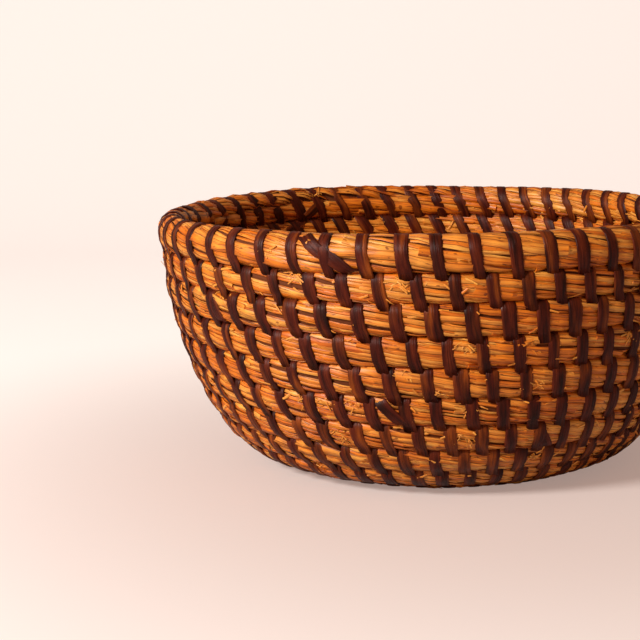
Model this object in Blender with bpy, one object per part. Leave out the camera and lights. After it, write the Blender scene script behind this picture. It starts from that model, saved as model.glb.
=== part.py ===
"""Round straw basket, sewn as one long coil.

A bundle of straw winds outwards from the middle of the base and then climbs the
wall, row upon row, to a slimmer row and on that a fuller rim row, which runs out thin.  It
is divided where it leaves the base, where the rounded foot ends and where the rim
row starts, and the stretches lie end to end.
Lengths of split bark are wrapped round the bundle, stitch after stitch, and pass
between the rows to bind them.  Each length of splint is a piece of its own.

Everything is laid out on the bowl's section: a place is given by its length along
the section from the middle of the base, by its offset from the section's line
towards the outside, and by its place along the coil, counted in turns.
Lengths are in metres, +Z is up, and the basket stands on Z = 0.
"""

import math

import bmesh
import bpy
import numpy as np

# The bowl's section, to the middle of the coil
RIM_RADIUS = 0.1418
RIM_HEIGHT = 0.1239
FLAT_RADIUS = 0.0820
FOOT_REACH = 0.0370
WALL_REACH = 0.0440
WALL_LEAN_DEGREES = 1.1

# The straw coil
BASE_TURNS = 5
FOOT_TURNS = 3
WALL_TURNS = 5
RIM_TURNS = 1
TAIL_TURNS = 0.05
START_RADIUS = 0.0075
START_SHARE = 0.60
UNDER_RIM_SHARE = 0.88
RIM_SHARE = 1.08
TAIL_SHARE = 0.30
DEPTH_SHARE = 0.92
CROWN_SHARE = 0.50
FULLER_OVER_TURNS = 0.12
TAIL_OVER_TURNS = 0.20
RINGS_PER_TURN = 24

# The coil steps up from row to row in this much of each turn, on either side of its start
STEP_TURNS = 0.125

# The splints
SPLINT_WIDTH = 0.0044
SPLINT_THICKNESS = 0.0008
BASE_STITCH = 0.0150
WALL_STITCHES_PER_TURN = 54.5
STITCHES_PER_SPLINT = 25
SECTIONS_PER_STITCH = 4
SLANT_SHARE = 0.10
LEAST_STITCH_GAP = 0.0008

# Clearances
CLEARANCE = 0.0003
SELF_GAP = 0.0004

# The section's table is this fine, and the coil's thickness is found from two trial
# thicknesses, as shares of the wall's reach
SECTION_STEPS = 2000
TRIAL_SHARES = (0.10, 0.25)

# The least step between two rings at a coil's end, as a share of a usual step
LEAST_STEP_SHARE = 0.1
SHARP_DEGREES = 40.0
MILLIMETRES = 1000.0

STRAW = ("oat straw, dried", (0.72, 0.36, 0.09, 1.0), 0.55)
DARK_BARK = ("split bark, dark", (0.060, 0.022, 0.016, 1.0), 0.42)
RED_BARK = ("split bark, reddish", (0.140, 0.048, 0.022, 1.0), 0.45)

FIRST_FOOT_TURN = BASE_TURNS
FIRST_WALL_TURN = FIRST_FOOT_TURN + FOOT_TURNS
FIRST_RIM_TURN = FIRST_WALL_TURN + WALL_TURNS
LAST_TURN = FIRST_RIM_TURN + RIM_TURNS + TAIL_TURNS
ONE_LAYER = SPLINT_THICKNESS + 2 * CLEARANCE
TWO_LAYERS = 2 * SPLINT_THICKNESS + 3 * CLEARANCE


def clear_scene():
    for thing in list(bpy.data.objects):
        bpy.data.objects.remove(thing, do_unlink=True)


def eased(share):
    """0 to 1 with a soft start and a soft end."""
    share = min(max(share, 0.0), 1.0)
    return share * share * (3.0 - 2.0 * share)


class Section:
    """The bowl's section line: flat base, rounded foot, wall that stands almost upright."""

    def __init__(self, flat_height):
        lean = math.radians(WALL_LEAN_DEGREES)
        foot = np.array([FLAT_RADIUS, flat_height])
        rim = np.array([RIM_RADIUS, RIM_HEIGHT])
        below_foot = foot + np.array([FOOT_REACH, 0.0])
        below_rim = rim - WALL_REACH * np.array([math.sin(lean), math.cos(lean)])
        t = np.linspace(0.0, 1.0, SECTION_STEPS)[:, None]
        curve = (
            (1 - t) ** 3 * foot
            + 3 * (1 - t) ** 2 * t * below_foot
            + 3 * (1 - t) * t**2 * below_rim
            + t**3 * rim
        )
        # The line runs on straight past the rim, for the upper half of the last row
        beyond = rim + RIM_HEIGHT * np.array([math.sin(lean), math.cos(lean)])
        points = np.vstack([[0.0, flat_height], curve, beyond])
        steps = np.diff(points, axis=0)
        lengths = np.linalg.norm(steps, axis=1)
        self.along = np.concatenate([[0.0], np.cumsum(lengths)])
        self.points = points
        self.to_rim = self.along[-2]
        angles = np.arctan2(steps[:, 1], steps[:, 0])
        self.angles = np.concatenate([[0.0], (angles[1:] + angles[:-1]) / 2, [angles[-1]]])

    def steepness(self, along):
        """0 on the flat base, 1 where the wall is upright."""
        return math.sin(np.interp(along, self.along, self.angles))

    def place(self, along, offset):
        """Radius and height of a place at this length along the line and offset outwards."""
        radius = np.interp(along, self.along, self.points[:, 0])
        height = np.interp(along, self.along, self.points[:, 1])
        angle = np.interp(along, self.along, self.angles)
        return radius + offset * math.sin(angle), height - offset * math.cos(angle)


def fullness(turn):
    """The coil's half height at this turn, as a share of the wall's."""
    start = START_SHARE + (1.0 - START_SHARE) * eased(turn)
    under_rim = eased((turn - FIRST_RIM_TURN + RIM_TURNS) / FULLER_OVER_TURNS)
    at_rim = eased((turn - FIRST_RIM_TURN) / FULLER_OVER_TURNS)
    rim = 1.0 + (UNDER_RIM_SHARE - 1.0) * under_rim + (RIM_SHARE - UNDER_RIM_SHARE) * at_rim
    tail = eased((LAST_TURN - turn) / TAIL_OVER_TURNS)
    return start * rim * (TAIL_SHARE + (1.0 - TAIL_SHARE) * tail)


def row_gap(turn):
    """The room that the splints take between this turn and the one before it."""
    past_two_layers = eased(turn - FIRST_FOOT_TURN - 1.0)
    return TWO_LAYERS + (ONE_LAYER - TWO_LAYERS) * past_two_layers


def step_spare(turn, row_height):
    """What the base rows are wider than the others at this turn.

    They are wider on one side, so that the rows above step up in one short stretch and
    run level round the rest of the bowl.
    """
    share = turn - math.floor(turn)
    nearest = round(turn)
    stepped = nearest - math.floor(turn) + eased((turn - nearest) / (2 * STEP_TURNS) + 0.5) - 0.5
    widest = 0.5 - STEP_TURNS
    all_rows = (stepped - share + widest) * row_height
    in_base = eased(turn - 0.5) - eased(turn - (BASE_TURNS - 0.5))
    return in_base * all_rows / (BASE_TURNS - 1)


def lay_rows(half_height):
    """The coil's length along the section at each ring, every row beside the one before."""
    count = int(math.ceil(LAST_TURN * RINGS_PER_TURN)) + 1
    row_height = 2 * half_height + ONE_LAYER
    turns = [i / RINGS_PER_TURN for i in range(count)]
    halves = [half_height * fullness(turn) + step_spare(turn, row_height) / 2 for turn in turns]
    first_step = halves[0] + halves[RINGS_PER_TURN] + row_gap(1.0)
    along = [START_RADIUS + first_step * turn for turn in turns[:RINGS_PER_TURN]]
    for i in range(RINGS_PER_TURN, count):
        before = i - RINGS_PER_TURN
        along.append(along[before] + halves[i] + halves[before] + row_gap(turns[i]))
    return along, halves


def middle_of_rim(along):
    middle = (FIRST_RIM_TURN + RIM_TURNS / 2) * RINGS_PER_TURN
    return along[int(round(middle))]


def coil_half_height():
    """The half height at which the middle of the last turn lies at the rim's height.

    The laid length grows evenly with the half height, so two trials give the answer.
    The section's own length changes with it a little, through the height of the base.
    """
    thin, thick = (share * WALL_REACH for share in TRIAL_SHARES)
    for _ in range(3):
        misses = []
        for half in (thin, thick):
            section = Section(base_lift(half))
            misses.append(middle_of_rim(lay_rows(half)[0]) - section.to_rim)
        found = thin - misses[0] * (thick - thin) / (misses[1] - misses[0])
        thin, thick = found - CLEARANCE, found + CLEARANCE
    return found


def base_lift(half_height):
    """Height of the base rows' middle: half their depth, and the splint under them."""
    return DEPTH_SHARE * half_height + CLEARANCE + SPLINT_THICKNESS


class Coil:
    """Where the coil lies, and places on it and round it."""

    def __init__(self):
        self.half_height = coil_half_height()
        self.section = Section(base_lift(self.half_height))
        self.along, self.halves = lay_rows(self.half_height)

    def ring_place(self, ring, side, face, past_side, past_face, bend_room):
        """A place in one ring's plane, by the side it is on (-1 below, 1 above) and by
        the face (1 outside, -1 inside), with what it stands clear of the straw.  The
        room for a bend is taken where the wall is upright, and none on the flat base."""
        depth = DEPTH_SHARE * self.half_height * fullness(ring / RINGS_PER_TURN)
        along = self.along[ring] + side * (self.halves[ring] + past_side)
        offset = face * (depth + past_face + bend_room * self.section.steepness(along))
        radius, height = self.section.place(along, offset)
        azimuth = 2 * math.pi * ring / RINGS_PER_TURN
        return np.array([radius * math.cos(azimuth), radius * math.sin(azimuth), height])

    def place(self, turn, side, face, past_side=0.0, past_face=0.0, bend_room=0.0):
        """The same at any turn, on the straight stretch between two rings."""
        whole = min(int(turn * RINGS_PER_TURN), len(self.along) - 2)
        share = turn * RINGS_PER_TURN - whole
        near = self.ring_place(whole, side, face, past_side, past_face, bend_room)
        far = self.ring_place(whole + 1, side, face, past_side, past_face, bend_room)
        return near * (1 - share) + far * share

    def radius(self, turn):
        x, y, _ = self.place(turn, 0, 0)
        return math.hypot(x, y)

    def straw_section(self, turn):
        """Six points round the bundle: flattened outside and inside, ridged where rows meet."""
        corners = {
            (side, face): self.place(turn, side, face) for side in (-1, 1) for face in (-1, 1)
        }
        points = []
        for face, order in ((1, (-1, 1)), (-1, (1, -1))):
            low, high = corners[order[0], face], corners[order[1], face]
            middle = (low + high) / 2
            points.append(middle + (low - middle) * CROWN_SHARE)
            points.append(middle + (high - middle) * CROWN_SHARE)
            points.append((high + corners[order[1], -face]) / 2)
        return points

    def straw_turns(self, first, last):
        """The turns at which a stretch of the coil has its rings, short of its two ends."""
        first += self.end_room(first)
        last -= self.end_room(last)
        between = range(math.ceil(first * RINGS_PER_TURN), math.floor(last * RINGS_PER_TURN) + 1)
        middle = [ring / RINGS_PER_TURN for ring in between]
        least_step = LEAST_STEP_SHARE / RINGS_PER_TURN
        middle = [turn for turn in middle if first + least_step < turn < last - least_step]
        return [first] + middle + [last]

    def end_room(self, turn):
        """Half the clearance between two stretches of the coil, in turns."""
        return CLEARANCE / 2 / (2 * math.pi * self.radius(turn))


def stitch_turns(coil):
    """Where each stitch starts along the coil, in turns."""
    turns = []
    turn = SPLINT_WIDTH / (2 * math.pi * START_RADIUS)
    while turn < LAST_TURN:
        turns.append(turn)
        radius = coil.radius(turn)
        around = 2 * math.pi * radius
        # Side by side in the bend, the stitches are closest where they pass inside it
        inner = 2 * math.pi * (radius - coil.half_height * fullness(turn) - CLEARANCE)
        tight = (SPLINT_WIDTH + LEAST_STITCH_GAP) / inner
        if turn < FIRST_FOOT_TURN:
            turn += max(BASE_STITCH / around, tight)
        else:
            turn += 1.0 / WALL_STITCHES_PER_TURN
    return turns


def bend_room(coil, turn):
    """What a splint stands further off outside, to clear the coil's bend at a ring."""
    slant = SLANT_SHARE * 2 * math.pi * coil.radius(turn) / WALL_STITCHES_PER_TURN
    return (SPLINT_WIDTH + slant) / 2 * math.tan(math.pi / RINGS_PER_TURN)


def splint_section(coil, turn, side, face, flat_outside):
    """Three points across a splint, which is flat on one side and ridged on the other."""
    half_width = SPLINT_WIDTH / 2 / (2 * math.pi * coil.radius(turn))
    outer = CLEARANCE + SPLINT_THICKNESS
    edge, ridge = (outer, CLEARANCE) if flat_outside else (CLEARANCE, outer)
    room = bend_room(coil, turn) if face > 0 else 0.0
    return [
        coil.place(turn - half_width, side, face, edge, edge, room),
        coil.place(turn + half_width, side, face, edge, edge, room),
        coil.place(turn, side, face, ridge, ridge, room),
    ]


def tucked_section(coil, turn, towards, flat_outside):
    """A splint's cut end, tucked between two rows a little to one side of their middle."""
    near = splint_section(coil, turn, 1, 1, flat_outside)
    far = splint_section(coil, turn, 1, -1, flat_outside)
    tucked = []
    for outside, inside in zip(near, far):
        middle = (outside + inside) / 2
        reach = outside - inside
        tucked.append(middle + towards * reach / np.linalg.norm(reach) * CLEARANCE)
    return tucked


def splint_sections(coil, turns, flat_outside):
    """The sections along one splint: for each stitch down the outside, under the row,
    up the inside and over the row to the next."""
    sections = [tucked_section(coil, turns[0], 1, flat_outside)]
    for start, end in zip(turns, turns[1:]):
        slanted = start + SLANT_SHARE * (end - start)
        sections.append(splint_section(coil, start, 1, 1, flat_outside))
        sections.append(splint_section(coil, slanted, -1, 1, flat_outside))
        sections.append(splint_section(coil, slanted, -1, -1, flat_outside))
        sections.append(splint_section(coil, end, 1, -1, flat_outside))
    sections.append(tucked_section(coil, turns[-1], -1, flat_outside))
    return sections


def material(finish):
    name, colour, roughness = finish
    made = bpy.data.materials.new(name)
    made.use_nodes = True
    shader = made.node_tree.nodes["Principled BSDF"]
    shader.inputs["Base Color"].default_value = colour
    shader.inputs["Roughness"].default_value = roughness
    shader.inputs["Metallic"].default_value = 0.0
    made.diffuse_color = colour
    return made


def tube(name, sections, finish):
    """A closed tube lofted through sections that have the same number of points."""
    shape = bmesh.new()
    rings = [[shape.verts.new(tuple(point)) for point in section] for section in sections]
    for near, far in zip(rings, rings[1:]):
        for i in range(len(near)):
            j = (i + 1) % len(near)
            shape.faces.new((near[i], near[j], far[j], far[i]))
    shape.faces.new(reversed(rings[0]))
    shape.faces.new(rings[-1])
    bmesh.ops.recalc_face_normals(shape, faces=shape.faces)
    mesh = bpy.data.meshes.new(name)
    shape.to_mesh(mesh)
    shape.free()
    mesh.shade_smooth()
    mesh.set_sharp_from_angle(angle=math.radians(SHARP_DEGREES))
    mesh.materials.append(material(finish))
    bpy.context.scene.collection.objects.link(bpy.data.objects.new(name, mesh))


def least_gap(loops):
    """The least distance from the points of one loop to those of the next."""
    least = math.inf
    for near, far in zip(loops, loops[1:]):
        a, b = np.array(near), np.array(far)
        least = min(least, np.linalg.norm(a[:, None] - b[None], axis=2).min())
    return least


def with_points_between(points):
    """A run of points with some more on each straight stretch."""
    shares = (0.0, 0.25, 0.5, 0.75)
    return [a * (1 - t) + b * t for a, b in zip(points, points[1:]) for t in shares]


def print_gap(name, least):
    asked = f"over {SELF_GAP * MILLIMETRES:.1f} mm asked"
    print(f"{name}: least gap to itself {least * MILLIMETRES:.2f} mm, {asked}")


def print_coil_gap(name, sections, turns):
    """Measures a stretch of coil against itself, one turn on, and prints it."""
    least = math.inf
    closed = [with_points_between(section + section[:1]) for section in sections]
    for i, turn in enumerate(turns):
        above = [j for j, other in enumerate(turns) if abs(other - turn - 1) < 1 / RINGS_PER_TURN]
        for j in above:
            least = min(least, least_gap([closed[i], closed[j]]))
    if least < math.inf:
        print_gap(name, least)


def make_coil(coil):
    stretches = (
        ("straw_coil_base", 0.0, FIRST_FOOT_TURN),
        ("straw_coil_foot", FIRST_FOOT_TURN, FIRST_WALL_TURN),
        ("straw_coil_wall", FIRST_WALL_TURN, FIRST_RIM_TURN),
        ("straw_coil_rim", FIRST_RIM_TURN, LAST_TURN),
    )
    for name, first, last in stretches:
        turns = coil.straw_turns(first, last)
        sections = [coil.straw_section(turn) for turn in turns]
        tube(name, sections, STRAW)
        print_coil_gap(name, sections, turns)


def splint_groups(turns):
    """Stitches shared out over splints, with new splints at the foot and at the rim."""
    zones = (
        ("base_splint", 0.0, FIRST_FOOT_TURN),
        ("wall_splint", FIRST_FOOT_TURN, FIRST_RIM_TURN),
        ("rim_splint", FIRST_RIM_TURN, LAST_TURN),
    )
    for name, first, last in zones:
        inside = [i for i, turn in enumerate(turns[:-1]) if first <= turn < last]
        count = math.ceil(len(inside) / STITCHES_PER_SPLINT)
        for number in range(count):
            low = inside[0] + len(inside) * number // count
            high = inside[0] + len(inside) * (number + 1) // count
            yield f"{name}_{number + 1:02d}", turns[low : high + 1]


def make_splints(coil):
    for count, (name, turns) in enumerate(splint_groups(stitch_turns(coil))):
        flat_outside = name.startswith("base")
        sections = splint_sections(coil, turns, flat_outside)
        finish = RED_BARK if count % 3 == 1 else DARK_BARK
        tube(name, sections, finish)
        loops = []
        for first in range(1, len(sections) - SECTIONS_PER_STITCH, SECTIONS_PER_STITCH):
            stitch = sections[first : first + SECTIONS_PER_STITCH]
            # Each edge of the splint; the pass over the row leads to the next stitch and is left out
            edges = [with_points_between(list(edge)) for edge in zip(*stitch)]
            loops.append([point for edge in edges for point in edge])
        print_gap(f"{name}, {len(loops)} stitches", least_gap(loops))


def main():
    clear_scene()
    coil = Coil()
    print(f"coil {2 * coil.half_height * MILLIMETRES:.2f} mm high")
    make_coil(coil)
    make_splints(coil)


main()
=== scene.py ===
"""Looks of the round straw basket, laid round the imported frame.

The coil is laid out by the same driving dimensions as the frame's solids, row upon row
along the bowl's section.  On it lie single straws, then the bark splints that bind the
rows, the splints' tucked ends and the loose straw that stands off the bundle.

A place on the bundle is given by its stitch count along the coil and by its share of the
way round the bundle: 0 at the top, 0.25 outside, 0.5 at the bottom and 0.75 inside.
Lengths are in metres.
"""

import math

import bpy
import numpy as np
from mathutils import Matrix, Vector


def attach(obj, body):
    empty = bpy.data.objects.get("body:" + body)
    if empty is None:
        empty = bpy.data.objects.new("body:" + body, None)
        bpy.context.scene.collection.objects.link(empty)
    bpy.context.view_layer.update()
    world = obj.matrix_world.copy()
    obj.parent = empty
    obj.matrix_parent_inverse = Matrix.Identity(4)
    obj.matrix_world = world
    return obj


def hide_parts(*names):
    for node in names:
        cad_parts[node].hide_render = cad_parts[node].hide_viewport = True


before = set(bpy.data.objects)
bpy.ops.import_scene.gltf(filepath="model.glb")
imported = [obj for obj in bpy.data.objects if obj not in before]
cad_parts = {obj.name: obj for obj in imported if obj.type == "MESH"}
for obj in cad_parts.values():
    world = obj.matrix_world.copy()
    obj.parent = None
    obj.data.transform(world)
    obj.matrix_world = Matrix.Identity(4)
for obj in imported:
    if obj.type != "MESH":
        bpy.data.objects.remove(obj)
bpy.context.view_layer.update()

bl_info = {
    "name": "Coiled straw basket",
    "version": (1, 0, 0),
    "blender": (4, 5, 0),
    "location": "View3D > Sidebar > Basket",
    "description": "Straw, bark splints and a plain studio for the packed basket",
    "category": "Object",
}

SEED = 41
MM = 0.001

# The bowl's section and the coil, as the frame's solids have them
RIM_RADIUS = 0.1418
RIM_HEIGHT = 0.1239
FLAT_RADIUS = 0.0820
FOOT_REACH = 0.0370
WALL_REACH = 0.0440
WALL_LEAN_DEGREES = 1.1
FIRST_FOOT_TURN = 5
FIRST_WALL_TURN = 8
FIRST_RIM_TURN = 13
LAST_TURN = 14.05
START_RADIUS = 0.0075
START_SHARE = 0.60
UNDER_RIM_SHARE = 0.88
RIM_SHARE = 1.08
TAIL_SHARE = 0.30
DEPTH_SHARE = 0.92
FULLER_OVER_TURNS = 0.12
TAIL_OVER_TURNS = 0.20
STEP_TURNS = 0.125
ONE_LAYER = 0.0014
TWO_LAYERS = 0.0025
FLAT_SPLINT = 0.0011
RINGS_PER_TURN = 96
SECTION_STEPS = 2000
TRIAL_SHARES = (0.10, 0.25)

# The stitches: one is photographed at each of these turns, and they stand closer on the right
SEEN_STITCHES = (5.715, 6.709, 7.720, 8.713, 9.707, 10.718, 11.711, 12.722, 13.714)
BASE_STITCH = 0.0125
COUNTED_TURNS = (5.0, 6.2, 8.5, 14.1)
COUNTED_STITCHES = (49.0, 53.0, 55.5, 56.0)
CLOSER_SHARE = 0.11
CLOSEST_AZIMUTH = 0.17
NARROWER_SHARE = 0.07
UNEVEN_SHARE = 0.07
FAR_STITCHES = 100
# Tucked ends of splints as photographed, each in stretches of one row: the turn and the way
# round where the stretch starts and ends
SEEN_TAILS = (
    ((13.6800, 0.05, 13.7125, 0.44),),
    ((12.3690, 0.72, 12.3550, 0.86), (13.3510, 0.63, 13.3330, 0.86)),
    ((11.6147, 0.08, 11.6250, 0.44),),
    ((8.7175, 0.10, 8.7347, 0.44),),
    ((7.8100, 0.12, 7.8220, 0.42),),
)
# The other ends lie inside, over this many stitches and this part of the way round
TAIL_STITCHES = 1.1
TAIL_WAYS = (0.95, 0.57)
LAST_TAIL_TURN = 12.0

# Way round the bundle, as shares, and how far a stitch has then gone along the coil
PASS_SHARES = (0.07, 0.20, 0.32, 0.44, 0.56, 0.64, 0.88, 0.94, 1.01, 1.07)
GONE_SHARES = (0.0, 0.02, 0.07, 0.16, 0.42, 0.49, 0.84, 0.92, 0.98, 1.0)
SWELL = 0.45 * MM
PINCH = 0.35 * MM
PINCH_REACH = 0.36
SQUARENESS = 3.3
RIM_TOP_SQUARENESS = 2.05
SHAPE_STEPS = 720
FRAYED_ENDS = 900
TORN_SPOTS = 34
# Turn and way round of the torn spots that the photograph shows
SEEN_TORN_SPOTS = (
    (12.678, 0.11), (12.732, 0.16), (12.751, 0.10), (11.629, 0.04), (10.764, 0.16),
    (9.733, 0.12), (8.705, 0.14), (8.715, 0.05), (7.767, 0.19), (7.691, 0.19), (7.694, 0.27),
)
# The fibre that stands off on the left: turn and way round at its foot and tip, and its rise
SEEN_LOOSE_FIBRE = (12.537, 0.37, 12.528, 0.27, 2.6 * MM)
# At the back of the rim, on the left, the bundle's last straws run out as a thin band: turns,
# and how far round the bundle the line under the band is
BAND_TURNS = (13.20, 13.24, 13.31, 13.36, 13.43, 13.50)
BAND_WAYS = (0.87, 0.85, 0.845, 0.83, 0.75, 0.67)
BAND_DEPTH = 1.5 * MM
BAND_RISES = np.array((0.2, 0.6, 1.7, 2.2, 0.8, 0.0)) * MM
BAND_BUMPS = np.array((0.0, 0.0, 0.1, 0.4, 0.45, 0.0)) * MM
ROW_WAVE = 1.0 * MM
FACE_WAVE = 0.9 * MM
FACE_WAVE_SHIFT = 2.0
CLEAR_OF_ROW = 0.1 * MM

# The stretches of the bundle, as the frame divides it, and the zones of the splints
STRETCHES = (
    ("straw_coil_base", 0.0, FIRST_FOOT_TURN),
    ("straw_coil_foot", FIRST_FOOT_TURN, FIRST_WALL_TURN),
    ("straw_coil_wall", FIRST_WALL_TURN, FIRST_RIM_TURN),
    ("straw_coil_rim", FIRST_RIM_TURN, LAST_TURN),
)
ZONES = (
    ("base_splint", 0.0, FIRST_FOOT_TURN),
    ("wall_splint", FIRST_FOOT_TURN, FIRST_RIM_TURN),
    ("rim_splint", FIRST_RIM_TURN, LAST_TURN),
)

# The parts of a stitch at which a straw is drawn, and how often it winds round the bundle in
# a turn of the coil
STRAW_SAMPLES = np.array([-0.22, 0.0, 0.22, 0.5])
TWIST = 2.8
STRAW_TILT = 0.17
STRAW_WIDTH_SPREAD = 0.36
STRAW_SECTION = {"Section Points": 6, "Thickness Share": 0.24, "Edge Power": 0.6}
# How far a straw strays in its lane: as a whole, slantwise, in waves and at each point
LANE_SHIFT, LANE_SLANT, LANE_WAVE, LANE_JITTER = 0.25, 0.5, 0.3, 0.07
# How high straws lie, in mm, and how many lie higher and by how much
STRAW_LIES = (-0.55, -0.2)
PROUD_SHARE, PROUD_RISE = 0.15, 0.25 * MM
# A loose end is cut short of its stitch and rises, in mm; a tucked one dives under it
CUT_SHORT = 0.45
LOOSE_RISE, LOOSE_REACH = (0.1, 0.7), 0.35
TUCK_DEPTH, TUCK_REACH = 0.9 * MM, 0.5
# Broken ends stand off along a row's lower and upper edges, outside and inside
LOWER_EDGES = (0.37, 0.63)
UPPER_EDGES = (0.14, 0.86)
AT_UPPER_EDGE = 0.45
FIRST_FRAYED_TURN = 4.5
LAST_FRAYED_TURN = LAST_TURN - 0.1
DRAWN_LOWER = 0.98
WAY_SPREAD = 0.025
TORN_FIBRES, TORN_TURNS, TORN_SIZE = (10, 18), 0.0022, 0.5
BROKEN_POINTS = 6
# The core: its rings in a turn, the sides of each, and how deep it lies under the surface
CORE_RINGS, CORE_SIDES, CORE_DEPTH = 120, 20, 0.7 * MM
# The start of the bundle: how far out it reaches where it begins and where its turn closes
KNOT_REACH = (2.6 * MM, 13.4 * MM)
KNOT_HALF_HEIGHT = 4.1 * MM
KNOT_STRAWS = 24
KNOT_STITCHES = 7
KNOT_STITCH = 2.3 * MM
KNOT_LIFT = 0.45 * MM
KNOT_THINNER = 0.45

BARK_SECTION = {"Section Points": 10, "Thickness Share": 0.17, "Edge Power": 0.5}
FULL_LIFT = 0.34
# One pass of a stitch: way round, gone share's way, rows below, lift in mm, share of its width
PASS = np.array(
    [
        (0.030, 0.030, 0, 0.20, 0.97), (0.075, 0.075, 0, 0.26, 1.00), (0.12, 0.12, 0, 0.32, 1.00),
        (0.17, 0.17, 0, 0.34, 1.00), (0.22, 0.22, 0, 0.34, 1.00), (0.27, 0.27, 0, 0.34, 1.00),
        (0.32, 0.32, 0, 0.34, 1.00), (0.365, 0.365, 0, 0.34, 0.98), (0.140, 0.44, 1, 0.12, 0.97),
        (0.130, 0.44, 1, -0.35, 0.95), (0.118, 0.445, 1, -1.1, 0.92), (0.105, 0.45, 1, -2.0, 0.85),
        (0.03, 0.49, 1, -2.0, 0.60), (0.97, 0.51, 1, -2.0, 0.60), (0.895, 0.55, 1, -2.0, 0.85),
        (0.882, 0.555, 1, -1.1, 0.92), (0.870, 0.56, 1, -0.35, 0.95), (0.860, 0.56, 1, 0.12, 0.97),
        (0.635, 0.635, 0, 0.34, 0.98), (0.68, 0.68, 0, 0.34, 1.00), (0.74, 0.74, 0, 0.34, 1.00),
        (0.80, 0.80, 0, 0.34, 1.00), (0.86, 0.86, 0, 0.34, 1.00), (0.91, 0.91, 0, 0.32, 1.00),
        (0.945, 0.945, 0, 0.26, 0.98), (0.985, 0.985, 0, 0.20, 0.97),
    ]
)
# How far apart the ends of stitches bite into the row below, and how much deeper at the rim
BITE_SPREAD = 0.010
RIM_BITE = 0.010
# How widths differ: from splint to splint, from stitch to stitch and along a stitch
SPLINT_WIDTHS = (0.94, 1.06)
STITCH_WIDTH_SPREAD = 0.07
EDGE_WAVE = 0.05
# A tucked end: its width, its lift in mm under stitches and what it has more between them
TAIL_POINTS = 9
TAIL_WIDTHS = (0.9, 1.15)
TAIL_LIFT = -0.15
TAIL_RISE = 0.75
TAIL_DIVE = 1.2 * MM

# Patterns on strands: how often they change in a metre along and in half a width across.
# Straw fibres are 0.2 mm wide and about 10 mm long, drawn a little coarser to show
STRAW_TONES = (22.0, 0.8)
STRAW_FIBRES = (110.0, 3.2)
STRAW_SPLITS = (24.0, 1.7)
STRAW_FLECKS = (260.0, 1.1)
BARK_FIBRES = (90.0, 4.5)
BARK_MOTTLE = (45.0, 0.9)
BARK_INNER = (26.0, 0.55)
NEXT_STRAND = 91.0
STRAW_COLOURS = ((0.10, "#913903"), (0.34, "#CF620A"), (0.57, "#F4871B"), (0.87, "#FFB650"))
BARK_COLOURS = ((0.30, "#290903"), (0.50, "#4A1407"), (0.66, "#66250E"), (0.85, "#84401F"))
INNER_BARK_COLOURS = ((0.30, "#4A1C07"), (0.50, "#74320E"), (0.75, "#AD5616"))
# The core shows between the straws; its colour is straw in painted shade
CORE_STRAW_IN_PAINTED_SHADE = "#6C320B"

# The camera as fitted to the photograph's outlines, in a frame of 640 by 640 pixels
CAMERA_PLACE = (0.0, -0.777, 0.201)
CAMERA_DOWN = 0.1658
CAMERA_LEFT = 0.0819
CAMERA_ROLL = 0.0171
FOCAL_PIXELS = 1435.0
FRAME_PIXELS = 640.0
# What the camera sees of the paper is lifted by the first colour beside the basket, the
# second from some way off; the smaller lift beside the basket is painted shade round its foot
PAPER_LIFTS = ("#9E8981", "#D8CEC8")
PAINTED_SHADE_MIDDLE = (0.05, -0.05, 0.0)
PAINTED_SHADE_REACH = (0.11, 0.5)
# The world's colour and strength as light, then as the camera sees them
WORLD_COLOURS = ("#FFD2AE", "#FFF4EA")
WORLD_STRENGTHS = (0.30, 0.95)
WINDOW_PLACE = (-1.24, -1.24, 1.02)
WINDOW_TARGET = (0.0, 0.0, 0.06)


def linear(code):
    """The linear colour of an sRGB hex value."""
    parts = [int(code[i : i + 2], 16) / 255 for i in (1, 3, 5)]
    return [c / 12.92 if c <= 0.04045 else ((c + 0.055) / 1.055) ** 2.4 for c in parts]


def opaque(code):
    return [*linear(code), 1.0]


def eased(share):
    """0 to 1 with a soft start and a soft end."""
    share = np.clip(share, 0.0, 1.0)
    return share * share * (3.0 - 2.0 * share)


def signed_power(value, power):
    return np.sign(value) * np.abs(value) ** power


class Section:
    """The bowl's section line: flat base, rounded foot, wall that stands almost upright."""

    def __init__(self, flat_height):
        lean = math.radians(WALL_LEAN_DEGREES)
        up_the_wall = np.array([math.sin(lean), math.cos(lean)])
        foot = np.array([FLAT_RADIUS, flat_height])
        rim = np.array([RIM_RADIUS, RIM_HEIGHT])
        t = np.linspace(0.0, 1.0, SECTION_STEPS)[:, None]
        curve = (
            (1 - t) ** 3 * foot
            + 3 * (1 - t) ** 2 * t * (foot + np.array([FOOT_REACH, 0.0]))
            + 3 * (1 - t) * t**2 * (rim - WALL_REACH * up_the_wall)
            + t**3 * rim
        )
        self.points = np.vstack([[0.0, flat_height], curve, rim + RIM_HEIGHT * up_the_wall])
        steps = np.diff(self.points, axis=0)
        self.along = np.concatenate([[0.0], np.cumsum(np.linalg.norm(steps, axis=1))])
        self.to_rim = self.along[-2]
        angles = np.arctan2(steps[:, 1], steps[:, 0])
        self.angles = np.concatenate([[0.0], (angles[1:] + angles[:-1]) / 2, [angles[-1]]])

    def angle(self, along):
        return np.interp(along, self.along, self.angles)

    def place(self, along, offset):
        """Radius and height of a place at this length along the line and offset outwards."""
        angle = self.angle(along)
        radius = np.interp(along, self.along, self.points[:, 0]) + offset * np.sin(angle)
        height = np.interp(along, self.along, self.points[:, 1]) - offset * np.cos(angle)
        return radius, height


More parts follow.
